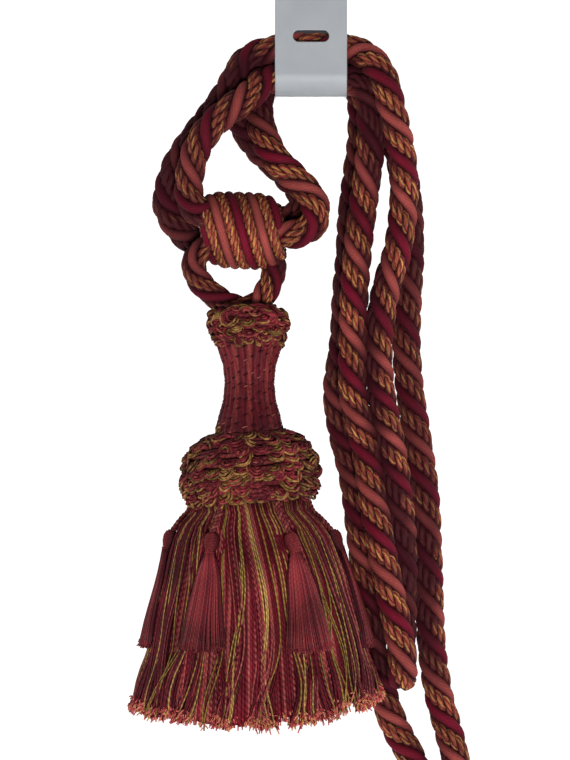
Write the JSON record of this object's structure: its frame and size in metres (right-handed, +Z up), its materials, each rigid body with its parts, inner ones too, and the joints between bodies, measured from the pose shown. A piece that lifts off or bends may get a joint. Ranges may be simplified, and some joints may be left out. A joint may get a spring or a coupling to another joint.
{
  "type": "curtain tieback tassel on a strip hook",
  "caption": "Curtain tieback of doubled twisted rope with a wound knot and a large fringed tassel ringed by small tassels, hung on a plain strip hook.",
  "frame": {"origin": "middle of the back leg's rear face near its top, where the strip hook is fastened", "axes": "+Z up, -Y towards the viewer, +X to the viewer's right; the tassel hangs down the -Z side"},
  "size_m": [0.1626, 0.0727, 0.4059],
  "materials": {
    "strip": "smooth light grey, semi-gloss",
    "rope": "laid rope of wine, rose and mixed gold yarn strands",
    "looped_yarn": "looped yarn in wine, rose and olive gold",
    "satin_yarn": "ribbed satin yarn in rose and wine",
    "fringe": "hanging yarn in wine and rose with olive gold lines",
    "small_yarn": "dusty rose yarn"
  },
  "bodies": {
    "root": {"hook": "strip", "rope_arm_a": "rope", "rope_arm_b": "rope", "tassel_loop": "rope", "wound_knot": "rope", "top_ruff": "looped_yarn", "tassel_head": "satin_yarn", "collar_ruff": "looped_yarn", "tassel_skirt": "fringe", "small_cord_1": "small_yarn", "small_cord_2": "small_yarn", "small_cord_3": "small_yarn", "small_cord_4": "small_yarn", "small_cord_5": "small_yarn", "small_cord_6": "small_yarn", "small_tassel_1": "small_yarn", "small_tassel_2": "small_yarn", "small_tassel_3": "small_yarn", "small_tassel_4": "small_yarn", "small_tassel_5": "small_yarn", "small_tassel_6": "small_yarn"}
  },
  "joints": []
}
